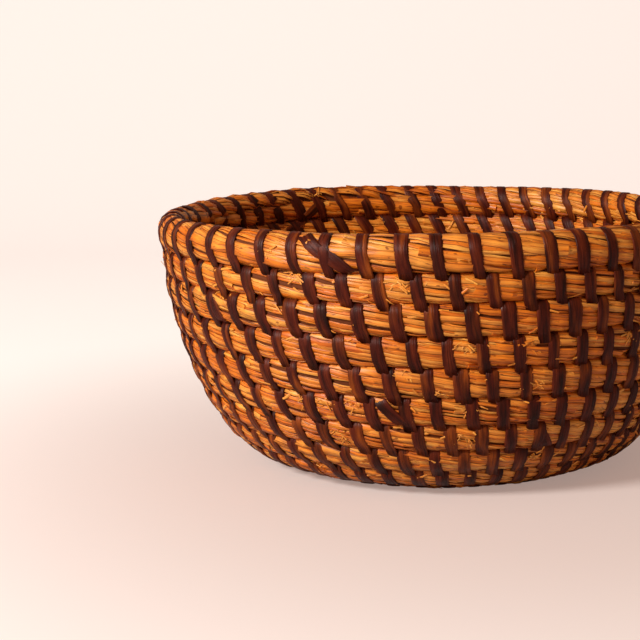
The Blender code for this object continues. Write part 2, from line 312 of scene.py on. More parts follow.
def fullness(turn):
    """The coil's half height at this turn, as a share of the wall's."""
    start = START_SHARE + (1.0 - START_SHARE) * eased(turn)
    under_rim = eased((turn - FIRST_RIM_TURN + 1.0) / FULLER_OVER_TURNS)
    at_rim = eased((turn - FIRST_RIM_TURN) / FULLER_OVER_TURNS)
    rim = 1.0 + (UNDER_RIM_SHARE - 1.0) * under_rim + (RIM_SHARE - UNDER_RIM_SHARE) * at_rim
    tail = eased((LAST_TURN - turn) / TAIL_OVER_TURNS)
    return start * rim * (TAIL_SHARE + (1.0 - TAIL_SHARE) * tail)


def row_gap(turn):
    """The room that the frame's splints take between this turn and the one before it."""
    return TWO_LAYERS + (ONE_LAYER - TWO_LAYERS) * eased(turn - FIRST_FOOT_TURN - 1.0)


def step_spare(turn, row_height):
    """What the base rows are wider, so that the rows step up in one stretch of each turn."""
    nearest = np.round(turn)
    stepped = nearest - np.floor(turn) + eased((turn - nearest) / (2 * STEP_TURNS) + 0.5) - 0.5
    all_rows = (stepped - turn % 1.0 + 0.5 - STEP_TURNS) * row_height
    in_base = eased(turn - 0.5) - eased(turn - (FIRST_FOOT_TURN - 0.5))
    return in_base * all_rows / (FIRST_FOOT_TURN - 1)


def lay_rows(half_height):
    """The coil's length along the section at each ring, every row beside the one before."""
    turns = np.arange(math.ceil(LAST_TURN * RINGS_PER_TURN) + 1) / RINGS_PER_TURN
    halves = half_height * fullness(turns)
    halves += step_spare(turns, 2 * half_height + ONE_LAYER) / 2
    first_step = halves[0] + halves[RINGS_PER_TURN] + row_gap(1.0)
    along = START_RADIUS + first_step * turns
    for first in range(RINGS_PER_TURN, len(turns), RINGS_PER_TURN):
        row = slice(first, min(first + RINGS_PER_TURN, len(turns)))
        below = slice(first - RINGS_PER_TURN, row.stop - RINGS_PER_TURN)
        along[row] = along[below] + halves[below] + halves[row] + row_gap(turns[row])
    return turns, along, halves


class Coil:
    """Where the bundle runs, where its stitches are, and places on its surface."""

    def __init__(self):
        self.half_height = self.found_half_height()
        self.section = Section(DEPTH_SHARE * self.half_height + FLAT_SPLINT)
        self.turns, self.along, self.halves = lay_rows(self.half_height)
        self.shares, self.angles = self.shape_table()
        self.waves = self.slow_waves(np.random.default_rng(SEED))
        self.stitches = self.stitch_turns(np.random.default_rng(SEED))
        # Before the first stitch and after the last the count runs on evenly
        numbers = np.arange(len(self.stitches))
        far = FAR_STITCHES * np.array([-1.0, 1.0])
        far_turns = self.stitches[[0, -1]] + far * np.diff(self.stitches)[[0, -1]]
        self.counts = np.insert(numbers[[0, -1]] + far, 1, numbers)
        self.marks = np.insert(far_turns, 1, self.stitches)

    def found_half_height(self):
        """The half height at which the last turn's middle lies at the rim's height."""
        thin, thick = (share * WALL_REACH for share in TRIAL_SHARES)
        for _ in range(3):
            misses = []
            for half in (thin, thick):
                section = Section(DEPTH_SHARE * half + FLAT_SPLINT)
                turns, along, _ = lay_rows(half)
                misses.append(np.interp(FIRST_RIM_TURN + 0.5, turns, along) - section.to_rim)
            found = thin - misses[0] * (thick - thin) / (misses[1] - misses[0])
            thin, thick = found - MM, found + MM
        return found

    def shape_table(self):
        """Angles round the bundle's rounded square against shares of the way round it."""
        angle = np.linspace(math.pi / 2, -1.5 * math.pi, SHAPE_STEPS + 1)
        points = np.stack(self.unit_shape(angle), axis=1)
        lengths = np.linalg.norm(np.diff(points, axis=0), axis=1)
        return np.concatenate([[0.0], np.cumsum(lengths)]) / lengths.sum(), angle

    def unit_shape(self, angle, squareness=SQUARENESS):
        power = 2.0 / squareness
        return signed_power(np.sin(angle), power), DEPTH_SHARE * signed_power(np.cos(angle), power)

    def slow_waves(self, rng):
        """What makes the rows run a little unevenly: waves round the bowl and up it."""
        counts = np.array([2, 3, 5, 8, 13, 19])
        return [
            (count, rng.uniform(20, 60), rng.uniform(0, math.tau), 1.0 / math.sqrt(count))
            for count in counts
        ]

    def wave(self, azimuth, along, shift):
        total = 0.0
        for count, up_the_wall, phase, size in self.waves:
            total = total + size * np.sin(count * azimuth + up_the_wall * along + phase + shift)
        return total / len(self.waves)

    def stitch_turns(self, rng):
        """The turn of each stitch, through the photographed ones."""
        radius = self.section.place(self.along, 0.0)[0]
        per_turn = np.interp(self.turns, COUNTED_TURNS, COUNTED_STITCHES)
        share = eased(self.turns - FIRST_FOOT_TURN)
        per_turn = share * per_turn + (1.0 - share) * math.tau * radius / BASE_STITCH
        per_turn *= 1.0 + CLOSER_SHARE * np.cos(math.tau * self.turns - CLOSEST_AZIMUTH)
        counts = np.concatenate([[0.0], np.cumsum((per_turn[1:] + per_turn[:-1]) / 2)])
        counts /= RINGS_PER_TURN
        seen = np.interp(SEEN_STITCHES, self.turns, counts)
        counts += np.interp(self.turns, SEEN_STITCHES, np.round(seen) - seen)
        numbers = np.arange(1, math.floor(counts[-1]) + 1)
        uneven = rng.uniform(-UNEVEN_SHARE, UNEVEN_SHARE, len(numbers))
        return np.interp(numbers + uneven, counts, self.turns)

    def turn_at(self, count):
        """The turn at this count of stitches along the coil."""
        return np.clip(np.interp(count, self.counts, self.marks), 0.0, LAST_TURN)

    def count_at(self, turn):
        return np.interp(turn, self.marks, self.counts)

    def gone(self, way):
        """How far along the coil, in stitches, the stitch has gone at this way round."""
        way = np.asarray(way, float) % 1.0
        return np.interp(way + (way < PASS_SHARES[0]), PASS_SHARES, GONE_SHARES)

    def tightness(self, turn, way):
        """1 under a stitch of this row, or near the top under one of the row above; else 0."""
        apart = self.count_at(turn) - self.gone(way)
        own = eased(1.0 - np.abs(apart - np.round(apart)) / PINCH_REACH)
        from_top = np.minimum(way % 1.0, 1.0 - way % 1.0)
        bitten = np.where(way % 1.0 < 0.5, self.gone(0.45), self.gone(0.55))
        apart = self.count_at(turn + 1.0) - bitten
        above = eased(1.0 - np.abs(apart - np.round(apart)) / PINCH_REACH)
        above = above * eased((0.20 - from_top) / 0.07) * (turn + 1.0 < LAST_TURN)
        return np.maximum(np.maximum(own, above), self.band(turn, way)[0])

    def band(self, turn, way):
        """How deep a place is in the line under the thin band, and how high the band lifts it."""
        inside = eased((turn - BAND_TURNS[0]) / 0.06) * eased((BAND_TURNS[-1] - turn) / 0.06)
        round_top = (way + 0.5) % 1.0 + 0.5
        below = round_top - np.interp(turn, BAND_TURNS, BAND_WAYS)
        groove = inside * np.exp(-((below / 0.022) ** 2))
        lifted = inside * eased(below / 0.06) * eased((1.16 - round_top) / 0.12)
        apart = self.count_at(turn) - self.gone(way)
        bumps = np.interp(turn, BAND_TURNS, BAND_BUMPS) * np.cos(math.tau * apart)
        return groove, lifted * (np.interp(turn, BAND_TURNS, BAND_RISES) - bumps)

    def surface(self, turn, way, lift=0.0):
        """Places on the bundle's surface and its outward directions there."""
        turn, way = np.broadcast_arrays(np.asarray(turn, float), np.asarray(way, float))
        groove, lifted = self.band(turn, way)
        lift = lift + lifted - BAND_DEPTH * groove
        azimuth = math.tau * turn
        along = np.interp(turn, self.turns, self.along)
        half = np.interp(turn, self.turns, self.halves) + row_gap(turn) / 2 - CLEAR_OF_ROW
        full = self.half_height * fullness(turn)
        angle = np.interp(way % 1.0, self.shares, self.angles)
        on_top = eased((turn - FIRST_RIM_TURN) / FULLER_OVER_TURNS) * (np.sin(angle) > 0.0)
        squareness = SQUARENESS + (RIM_TOP_SQUARENESS - SQUARENESS) * on_top
        side, face = self.unit_shape(angle, squareness)
        normal_power = 2.0 - 2.0 / squareness
        side_normal = signed_power(np.sin(angle), normal_power) / half
        face_normal = signed_power(np.cos(angle), normal_power) / (DEPTH_SHARE * full)
        size = np.hypot(side_normal, face_normal)
        side_normal, face_normal = side_normal / size, face_normal / size
        standing = np.sin(self.section.angle(along))
        side = side * half + lift * side_normal
        side = side + ROW_WAVE * self.wave(azimuth, along, 0.0) * standing
        face = face * full + lift * face_normal
        face = face + FACE_WAVE * self.wave(azimuth, along, FACE_WAVE_SHIFT) * standing
        radius, height = self.section.place(along + side, face)
        bend = self.section.angle(along + side)
        out = side_normal * np.cos(bend) + face_normal * np.sin(bend)
        up = side_normal * np.sin(bend) - face_normal * np.cos(bend)
        cosine, sine = np.cos(azimuth), np.sin(azimuth)
        places = np.stack([radius * cosine, radius * sine, height], axis=-1)
        return places, np.stack([out * cosine, out * sine, up], axis=-1)


def fill(tree, node, inputs):
    """Sets a node's sockets to values or links; a node stands for its first output."""
    for name, value in inputs.items():
        if isinstance(value, bpy.types.Node):
            value = value.outputs[0]
        if isinstance(value, bpy.types.NodeSocket):
            tree.links.new(value, node.inputs[name])
        else:
            node.inputs[name].default_value = value
    return node


def add(tree, kind, inputs=None, stops=(), **settings):
    """Adds a node with its settings, its sockets' values and links, and a ramp's stops."""
    made = tree.nodes.new(kind)
    for name, value in settings.items():
        setattr(made, name, value)
    if stops:
        elements = made.color_ramp.elements
        while len(elements) < len(stops):
            elements.new(0.5)
        for element, (place, code) in zip(elements, stops):
            element.position = place
            element.color = opaque(code)
    return fill(tree, made, inputs or {})


def strands_tree():
    """Gives each path a flattened section, as wide as the path says, lying on the bundle."""
    tree = bpy.data.node_groups.new("Strands along paths", "GeometryNodeTree")
    tree.interface.new_socket("Geometry", in_out="OUTPUT", socket_type="NodeSocketGeometry")
    inputs = {
        "Geometry": "NodeSocketGeometry",
        "Section Points": "NodeSocketInt",
        "Thickness Share": "NodeSocketFloat",
        "Edge Power": "NodeSocketFloat",
        "Material": "NodeSocketMaterial",
    }
    for label, kind in inputs.items():
        tree.interface.new_socket(label, in_out="INPUT", socket_type=kind)
    given = add(tree, "NodeGroupInput").outputs
    named = "GeometryNodeInputNamedAttribute"
    paths = add(tree, "GeometryNodeMeshToCurve", {"Mesh": given["Geometry"]})
    outward = add(tree, named, {"Name": "outward"}, data_type="FLOAT_VECTOR")
    facing = {"Curve": paths, "Normal": outward}
    laid = add(tree, "GeometryNodeSetCurveNormal", facing, mode="FREE")
    circle = {"Resolution": given["Section Points"], "Radius": 1.0}
    ring = add(tree, "GeometryNodeCurvePrimitiveCircle", circle)
    # The circle's width is drawn out towards its edges and its height pressed flat
    parts = add(tree, "ShaderNodeSeparateXYZ", {0: add(tree, "GeometryNodeInputPosition")})
    high, wide = parts.outputs[0], parts.outputs[1]
    size = add(tree, "ShaderNodeMath", {0: wide}, operation="ABSOLUTE")
    fuller = add(tree, "ShaderNodeMath", {0: size, 1: given["Edge Power"]}, operation="POWER")
    sign = add(tree, "ShaderNodeMath", {0: wide}, operation="SIGN")
    across = add(tree, "ShaderNodeMath", {0: fuller, 1: sign}, operation="MULTIPLY")
    thickness = {0: high, 1: given["Thickness Share"]}
    thick = add(tree, "ShaderNodeMath", thickness, operation="MULTIPLY")
    flat = add(tree, "ShaderNodeCombineXYZ", {0: thick, 1: across})
    shaped = add(tree, "GeometryNodeSetPosition", {"Geometry": ring, "Position": flat})
    stored = {"Geometry": shaped, "Name": "across", "Value": across}
    profile = add(tree, "GeometryNodeStoreNamedAttribute", stored)
    width = add(tree, named, {"Name": "half_width"})
    swept = {"Curve": laid, "Profile Curve": profile, "Scale": width, "Fill Caps": True}
    strands = add(tree, "GeometryNodeCurveToMesh", swept)
    smooth = add(tree, "GeometryNodeSetShadeSmooth", {"Geometry": strands})
    real = add(tree, "GeometryNodeRealizeInstances", {"Geometry": smooth})
    finish = {"Geometry": real, "Material": given["Material"]}
    add(tree, "NodeGroupOutput", {0: add(tree, "GeometryNodeSetMaterial", finish)})
    return tree


def grown(piece, tree, values):
    """Runs a geometry tree on a piece and leaves it a plain mesh, with nothing below the floor."""
    modifier = piece.modifiers.new(tree.name, "NODES")
    modifier.node_group = tree
    for item in tree.interface.items_tree:
        if item.in_out == "INPUT" and item.name in values:
            modifier[item.identifier] = values[item.name]
    depsgraph = bpy.context.evaluated_depsgraph_get()
    mesh = bpy.data.meshes.new_from_object(
        piece.evaluated_get(depsgraph), preserve_all_data_layers=True, depsgraph=depsgraph
    )
    mesh.name = piece.name
    places = np.empty(len(mesh.vertices) * 3, np.float32)
    mesh.vertices.foreach_get("co", places)
    places[2::3] = np.maximum(places[2::3], 0.0)
    mesh.vertices.foreach_set("co", places)
    piece.modifiers.clear()
    piece.data = mesh
    return piece


def linked(name, data):
    piece = bpy.data.objects.new(name, data)
    bpy.context.scene.collection.objects.link(piece)
    return piece


def directions(place):
    """The way that a path runs at each of its points."""
    steps = np.diff(place, axis=0)
    steps /= np.maximum(np.linalg.norm(steps, axis=1), 0.001 * MM)[:, None]
    both = np.concatenate([steps[:1], steps]) + np.concatenate([steps, steps[-1:]])
    return both / np.linalg.norm(both, axis=1)[:, None]


class Paths:
    """Paths for strands, gathered point by point into one mesh of edges."""

    NUMBERS = ("half_width", "tone", "gone", "tight")

    def __init__(self):
        self.parts = {key: [] for key in ("place", "outward", *self.NUMBERS)}

    def lay(self, place, outward, half_width, tone, tight):
        """Adds one path; the outward directions are turned square to it."""
        along = directions(place)
        outward = outward - (outward * along).sum(axis=1)[:, None] * along
        outward = outward / np.linalg.norm(outward, axis=1)[:, None]
        steps = np.linalg.norm(np.diff(place, axis=0), axis=1)
        gone = np.concatenate([[0.0], np.cumsum(steps)])
        numbers = {"half_width": half_width, "tone": tone, "gone": gone, "tight": tight}
        self.parts["place"].append(place)
        self.parts["outward"].append(outward)
        for key, value in numbers.items():
            self.parts[key].append(np.broadcast_to(value, len(place)))

    def piece(self, name):
        """A piece whose mesh is the paths, with their numbers on its points."""
        places = np.concatenate(self.parts["place"])
        path_ends = np.cumsum([len(part) for part in self.parts["place"]]) - 1
        starts = np.delete(np.arange(len(places)), path_ends)
        mesh = bpy.data.meshes.new(name)
        mesh.from_pydata(places, np.stack([starts, starts + 1], axis=1), [])
        outward = mesh.attributes.new("outward", "FLOAT_VECTOR", "POINT")
        outward.data.foreach_set("vector", np.concatenate(self.parts["outward"]).ravel())
        for key in self.NUMBERS:
            layer = mesh.attributes.new(key, "FLOAT", "POINT")
            layer.data.foreach_set("value", np.concatenate(self.parts[key]).astype(np.float32))
        return linked(name, mesh)


def finished(piece, slot, *nodes):
    """Hands a finished piece to the frame."""
    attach(piece, "root")
    if nodes:
        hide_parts(*nodes)


def principled(name, inputs):
    """A material with its shader; gives the material, its tree and the shader."""
    material = bpy.data.materials.new(name)
    material.use_nodes = True
    tree = material.node_tree
    return material, tree, fill(tree, tree.nodes["Principled BSDF"], inputs)


def strand_attributes(tree):
    """A strand's own tone, the length gone along it and the place across it."""
    return [
        add(tree, "ShaderNodeAttribute", attribute_name=name).outputs["Fac"]
        for name in ("tone", "gone", "across")
    ]


def streaks(tree, strand, often, detail=3.0):
    """Noise drawn out along a strand, another on each strand."""
    tone, gone, across = strand
    along = add(tree, "ShaderNodeMath", {0: gone, 1: often[0]}, operation="MULTIPLY")
    beside = add(tree, "ShaderNodeMath", {0: across, 1: often[1]}, operation="MULTIPLY")
    other = add(tree, "ShaderNodeMath", {0: tone, 1: NEXT_STRAND}, operation="MULTIPLY")
    vector = add(tree, "ShaderNodeCombineXYZ", {0: along, 1: beside, 2: other})
    noise = {"Vector": vector, "Scale": 1.0, "Detail": detail}
    return add(tree, "ShaderNodeTexNoise", noise).outputs[0]


def darkened(tree, colour, value, limits, code):
    """Colour multiplied by a dark one; limits carry the value to the dark one's share."""
    share = add(tree, "ShaderNodeMapRange", {0: value, **dict(enumerate(limits, 1))})
    inputs = {0: share, 6: colour, 7: opaque(code)}
    mixed = add(tree, "ShaderNodeMix", inputs, data_type="RGBA", blend_type="MULTIPLY")
    return mixed.outputs[2]


def fibrous(tree, shader, colour, fibres, roughness, relief, strength):
    """Gives a shader its colour, and the roughness and relief that the fibres draw."""
    limits = {1: 0.3, 2: 0.8, 3: roughness[0], 4: roughness[1]}
    rough = add(tree, "ShaderNodeMapRange", {0: fibres, **limits})
    raised = {"Height": fibres, "Distance": relief, "Strength": strength}
    bump = add(tree, "ShaderNodeBump", raised)
    fill(tree, shader, {"Base Color": colour, "Roughness": rough, "Normal": bump})


def dried_straw():
    """Oat straw, dried and aged: golden, waxy and glossy, with fine lengthwise fibres."""
    values = {"Roughness": 0.4, "Specular IOR Level": 0.45}
    material, tree, shader = principled("oat straw, dried", values)
    strand = strand_attributes(tree)
    tone, _, across = strand
    # Each straw has its own tone, and patches of the basket have darkened more than others
    place = add(tree, "ShaderNodeTexCoord").outputs["Object"]
    patches = add(tree, "ShaderNodeTexNoise", {"Vector": place, "Scale": 26.0, "Detail": 2.0})
    patched = add(tree, "ShaderNodeMath", {0: patches, 1: 0.35}, operation="MULTIPLY")
    own = add(tree, "ShaderNodeMath", {0: tone, 1: 0.38, 2: patched}, operation="MULTIPLY_ADD")
    drawn = streaks(tree, strand, STRAW_TONES, 2.0)
    both = add(tree, "ShaderNodeMath", {0: drawn, 1: 0.55, 2: own}, operation="MULTIPLY_ADD")
    colour = add(tree, "ShaderNodeValToRGB", {0: both}, STRAW_COLOURS)
    fibres = streaks(tree, strand, STRAW_FIBRES)
    colour = darkened(tree, colour, fibres, (0.52, 0.78, 0.0, 0.75), "#A85A22")
    # Lengthwise splits, where a flattened straw has cracked
    drawn_out = streaks(tree, strand, STRAW_SPLITS, 1.0)
    off = add(tree, "ShaderNodeMath", {0: drawn_out, 1: 0.5}, operation="SUBTRACT")
    size = add(tree, "ShaderNodeMath", {0: off}, operation="ABSOLUTE")
    colour = darkened(tree, colour, size, (0.0, 0.025, 0.85, 0.0), "#7A3408")
    # The edges are in the next straw's shade and hold dust
    width = add(tree, "ShaderNodeMath", {0: across}, operation="ABSOLUTE")
    colour = darkened(tree, colour, width, (0.75, 1.0, 0.0, 0.9), "#7A3A12")
    # Brown flecks where the leaf sheath has stayed on
    flecks = streaks(tree, strand, STRAW_FLECKS, 1.0)
    colour = darkened(tree, colour, flecks, (0.68, 0.74, 0.0, 0.7), "#6E3413")
    # Under and beside a stitch the straw is crushed; there, and in the line under the thin band,
    # its colour is darkened as painted shade, with a little dust
    stitch_shade_and_dust = add(tree, "ShaderNodeAttribute", attribute_name="tight").outputs["Fac"]
    colour = darkened(tree, colour, stitch_shade_and_dust, (0.05, 0.8, 0.0, 0.75), "#8A4A1C")
    fibrous(tree, shader, colour, fibres, (0.34, 0.58), 0.25 * MM, 0.7)
    return material


def straw_in_painted_shade():
    """The inside of the bundle: straw in painted shade, dark brown and dull, as if no light
    reaches it.
    """
    values = {"Roughness": 0.9, "Base Color": opaque(CORE_STRAW_IN_PAINTED_SHADE)}
    return principled("straw in painted shade, deep in the bundle", values)[0]


def split_bark():
    """Split bramble or willow bark: dark, purplish, waxy, with raised lengthwise fibres."""
    values = {"Roughness": 0.5, "Specular IOR Level": 0.18}
    material, tree, shader = principled("split bark, dark", values)
    strand = strand_attributes(tree)
    fibres = streaks(tree, strand, BARK_FIBRES)
    mottle = streaks(tree, strand, BARK_MOTTLE)
    dark = add(tree, "ShaderNodeValToRGB", {0: mottle}, BARK_COLOURS)
    red = add(tree, "ShaderNodeValToRGB", {0: mottle}, INNER_BARK_COLOURS)
    # Inner wood shows in stretches of a few stitches, often along one edge only
    inner = streaks(tree, strand, BARK_INNER, 1.0)
    share = add(
        tree, "ShaderNodeMath", {0: strand[0], 1: 0.16, 2: inner}, operation="MULTIPLY_ADD"
    )
    redder = add(tree, "ShaderNodeMapRange", {0: share, 1: 0.60, 2: 0.72, 3: 0.0, 4: 0.85})
    mixed = add(tree, "ShaderNodeMix", {0: redder, 6: dark, 7: red}, data_type="RGBA")
    colour = darkened(tree, mixed.outputs[2], fibres, (0.50, 0.72, 0.0, 0.7), "#5A3A30")
    fibrous(tree, shader, colour, fibres, (0.36, 0.6), 0.45 * MM, 0.9)
    return material


class BasketStraw(bpy.types.PropertyGroup):
    """The straw bundle."""

    straws_round: bpy.props.IntProperty(
        name="Straws round the bundle", description="Straws that lie on its surface", default=44
    )
    half_width: bpy.props.FloatProperty(
        name="Half a straw's width",
        description="Half the width of a flattened straw",
        default=1.2 * MM,
        unit="LENGTH",
    )
    shortest: bpy.props.IntProperty(
        name="Shortest", description="Fewest stitches that a straw runs under", default=3
    )
    longest: bpy.props.IntProperty(
        name="Longest", description="Stitches that no straw quite reaches", default=14
    )
    frayed_share: bpy.props.FloatProperty(
        name="Frayed",
        description="Share of the ends that stand off instead of being tucked in",
        default=0.12,
        subtype="FACTOR",
    )


class BasketSplint(bpy.types.PropertyGroup):
    """The bark splints."""

    half_width: bpy.props.FloatProperty(
        name="Half a splint's width",
        description="Half the width of a splint where it crosses a row",
        default=3.15 * MM,
        unit="LENGTH",
    )


class BasketStudio(bpy.types.PropertyGroup):
    """The studio's paper."""

    floor: bpy.props.FloatVectorProperty(
        name="Paper",
        description="Colour of floor and backdrop",
        subtype="COLOR",
        size=3,
        default=linear("#C2BCBC"),
    )


def end_lift(loose, away, rng):
    """How a straw's end lies: a loose one stands off, a tucked one dives under its stitch."""
    if loose:
        return rng.uniform(*LOOSE_RISE) * MM * eased(1.0 - away / LOOSE_REACH)
    return -TUCK_DEPTH * eased(1.0 - away / TUCK_REACH)


def one_straw(coil, lane, start, length, settings, rng):
    """A straw that winds along a lane under the stitches."""
    loose_start, loose_stop = rng.uniform(size=2) < settings.frayed_share
    numbers = (np.arange(length + 1)[:, None] + STRAW_SAMPLES).ravel()
    numbers = numbers[(numbers >= 0.0) & (numbers <= length)]
    if loose_start:
        numbers = numbers[numbers > CUT_SHORT]
    if loose_stop:
        numbers = numbers[numbers < length - CUT_SHORT]
    share = (numbers - numbers[0]) / (numbers[-1] - numbers[0])
    shift = rng.uniform(-LANE_SHIFT, LANE_SHIFT)
    shift = shift + rng.normal(0.0, LANE_SLANT) * (share - 0.5)
    phase, pace = rng.uniform(0, 9), rng.uniform(0.8, 2.2)
    shift = shift + rng.normal(0.0, LANE_WAVE) * np.sin((numbers + phase) * pace)
    shift = shift + rng.normal(0.0, LANE_JITTER, len(numbers))
    ways = lane + TWIST * coil.turn_at(start + numbers)
    # A straw that winds over the top of the row meets the same stitch again a pass later
    over_top = np.floor(ways - PASS_SHARES[0])
    turn = coil.turn_at(start + numbers + coil.gone(ways) + over_top - over_top[0])
    ways = ways + shift / settings.straws_round
    # Under stitches the straw is pinched; the same share also darkens its colour there as painted
    # shade
    tight = coil.tightness(turn, ways)
    lift = rng.uniform(*STRAW_LIES) * MM + SWELL * (1.0 - tight) - PINCH * tight
    if rng.uniform() < PROUD_SHARE:
        lift = lift + PROUD_RISE
    lift = lift + end_lift(loose_start, numbers - numbers[0], rng)
    lift = lift + end_lift(loose_stop, numbers[-1] - numbers, rng)
    place, outward = coil.surface(turn, ways, lift)
    outward = outward + rng.normal(0.0, STRAW_TILT) * np.cross(directions(place), outward)
    width = settings.half_width * rng.lognormal(0.0, STRAW_WIDTH_SPREAD) * fullness(turn)
    return place, outward, width, rng.uniform(), tight


def straw_paths(coil, settings, rng):
    """Paths of the straws that lie side by side round the bundle, for each row of the coil."""
    rows = [Paths() for _ in range(math.floor(LAST_TURN))]
    last = math.floor(coil.count_at(LAST_TURN))
    for number in range(settings.straws_round):
        lane = number / settings.straws_round
        start = -rng.integers(4, 12)
        while start < last - 1:
            length = int(min(rng.integers(settings.shortest, settings.longest), last - start))
            row = min(int(coil.turn_at(start + 1.0)), len(rows) - 1)
            if length > 1:
                rows[row].lay(*one_straw(coil, lane, start, length, settings, rng))
            start += length
    return rows


def broken_end(coil, turn, way, size, rng, paths):
    """One broken straw: it comes out of the bundle, bends off it and ends."""
    share = np.linspace(0.0, 1.0, BROKEN_POINTS)
    per_turn = coil.turn_at(coil.count_at(turn) + 1.0) - turn
    length = per_turn * rng.uniform(0.2, 0.7) * size * rng.choice((-1.0, 1.0))
    slant = rng.normal(0.03, 0.03)
    ways = way + slant * share + rng.normal(0.0, 0.03) * share**2
    rise = rng.uniform(0.4, 1.4) * MM
    turns = np.clip(turn + length * share, 0.1, LAST_TURN)
    tight = coil.tightness(turns, ways)
    lift = -0.5 * MM + rise * share**0.8 + 0.3 * MM * (1.0 - tight)
    lift = lift + rng.normal(0.0, 0.08, BROKEN_POINTS) * MM
    place, outward = coil.surface(turns, ways, lift)
    half_width = rng.uniform(0.45, 1.0) * MM * (0.3 + 0.7 * size) * (1.0 - 0.35 * share**2)
    paths.lay(place, outward, half_width, rng.uniform(0.5, 1.0), 0.0)


def torn_spot(coil, turn, way, rng, paths):
    """A spot where straws have split into short fibres."""
    for _ in range(rng.integers(*TORN_FIBRES)):
        spot = turn + rng.normal(0.0, TORN_TURNS)
        broken_end(coil, spot, way + rng.normal(0.0, WAY_SPREAD), TORN_SIZE, rng, paths)


def frayed_paths(coil, rng):
    """Broken ends that stand off at the row lines, and torn spots of finer fibres."""
    groups = {"frayed_straw_outside": Paths(), "frayed_straw_inside": Paths()}
    for name, lower, upper in zip(groups, LOWER_EDGES, UPPER_EDGES):
        for _ in range(FRAYED_ENDS):
            turn = rng.uniform(FIRST_FRAYED_TURN, LAST_FRAYED_TURN) ** DRAWN_LOWER
            at_top = rng.uniform() < AT_UPPER_EDGE and turn < FIRST_RIM_TURN
            way = (upper if at_top else lower) + rng.normal(0.0, WAY_SPREAD)
            broken_end(coil, turn, way, 1.0, rng, groups[name])
        for _ in range(TORN_SPOTS):
            turn = rng.uniform(FIRST_FOOT_TURN, LAST_FRAYED_TURN)
            way = lower + (upper - lower) * rng.uniform(0.0, 1.0)
            torn_spot(coil, turn, way, rng, groups[name])
    outside = groups["frayed_straw_outside"]
    for turn, way in SEEN_TORN_SPOTS:
        torn_spot(coil, turn, way, rng, outside)
    share = np.linspace(0.0, 1.0, 8)
    first, start, last, stop, rise = SEEN_LOOSE_FIBRE
    turns, ways = first + (last - first) * share, start + (stop - start) * share
    place, outward = coil.surface(turns, ways, rise * share**1.5 - 0.3 * MM)
    outside.lay(place, outward, 0.5 * MM * (1.0 - 0.5 * share), 0.8, 0.0)
    return groups


def knot_place(coil, back, way, lift):
    """A place on the start of the bundle, which tapers and winds inwards from its first turn."""
    free = np.interp(1.0 - back, (0.0, 1.0), KNOT_REACH)
    angle = math.tau * way
    centre = coil.surface(0.0, 0.25)[0][2] + coil.surface(0.0, 0.75)[0][2]
    side = free / 2 * (1.0 + np.sin(angle)) + lift * np.sin(angle)
    height = centre / 2 + (KNOT_HALF_HEIGHT * (1.0 - 0.3 * back) + lift) * np.cos(angle)
    azimuth = -math.tau * back
    cosine, sine = np.cos(azimuth), np.sin(azimuth)
    outward = np.stack([np.sin(angle) * cosine, np.sin(angle) * sine, np.cos(angle)], axis=-1)
    return np.stack([side * cosine, side * sine, height], axis=-1), outward


def knot_straws(coil, settings, rng):
    """The start of the bundle, which fills the middle of the base."""
    paths = Paths()
    back = np.linspace(-0.04, 0.94, 22)
    for way in np.arange(KNOT_STRAWS) / KNOT_STRAWS:
        shift = rng.normal(0.0, 0.012) + 0.03 * np.sin(back * 9.0 + rng.uniform(0, 6))
        place, outward = knot_place(coil, back, way + shift, rng.uniform(-0.5, 0.0) * MM)
        width = settings.half_width * rng.lognormal(0.0, 0.3) * (1.0 - KNOT_THINNER * back)
        paths.lay(place, outward, width, rng.uniform(), 0.0)
    return paths


def knot_stitches(coil):
    """The stitches round the start of the bundle, one splint wide where they are outermost."""
    paths = Paths()
    way = np.linspace(0.0, 1.0, 20)
    for number in range(KNOT_STITCHES):
        back = 0.9 * (number + 0.6) / KNOT_STITCHES + 0.03 * np.sin(math.tau * way)
        place, outward = knot_place(coil, back, way, KNOT_LIFT)
        width = KNOT_STITCH * (1.0 - KNOT_THINNER * back)
        width = width * (0.75 + 0.25 * np.sin(math.tau * way))
        paths.lay(place, outward, width, 0.5, 0.0)
    return paths


def core_mesh(coil, name, first, last):
    """The bundle's inside, a closed skin just under its straws."""
    turns = np.linspace(first, last, int((last - first) * CORE_RINGS) + 1)
    ways = np.arange(CORE_SIDES) / CORE_SIDES
    places = [coil.surface(np.full(CORE_SIDES, turn), ways, -CORE_DEPTH)[0] for turn in turns]
    faces = []
    for here in range(0, (len(turns) - 1) * CORE_SIDES, CORE_SIDES):
        for side in range(CORE_SIDES):
            corner, other = here + side, here + (side + 1) % CORE_SIDES
            faces.append((corner, other, other + CORE_SIDES, corner + CORE_SIDES))
    faces.append(tuple(range(CORE_SIDES))[::-1])
    faces.append(tuple(range((len(turns) - 1) * CORE_SIDES, len(turns) * CORE_SIDES)))
    mesh = bpy.data.meshes.new(name)
    mesh.from_pydata(np.concatenate(places), [], faces)
    mesh.shade_smooth()
    return mesh


class BASKET_OT_straw(bpy.types.Operator):
    """Lay the straws of the bundle, from the middle of the base to the end of the rim row"""

    bl_idname = "basket.straw"
    bl_label = "Straw bundle"

    def execute(self, context):
        settings = context.scene.basket_straw
        tree = strands_tree()
        values = {**STRAW_SECTION, "Material": dried_straw()}
        rows = straw_paths(COIL, settings, np.random.default_rng(SEED))
        for number, row in enumerate(rows):
            straws = grown(row.piece(f"straws_row_{number + 1:02d}"), tree, values)
            stretches = [node for node, first, _ in STRETCHES if number >= first]
            finished(straws, "straw", stretches[-1])
        loose = frayed_paths(COIL, np.random.default_rng(SEED + 50))
        loose["start_of_bundle"] = knot_straws(COIL, settings, np.random.default_rng(SEED + 60))
        for name, paths in loose.items():
            finished(grown(paths.piece(name), tree, values), "straw")
        return {"FINISHED"}


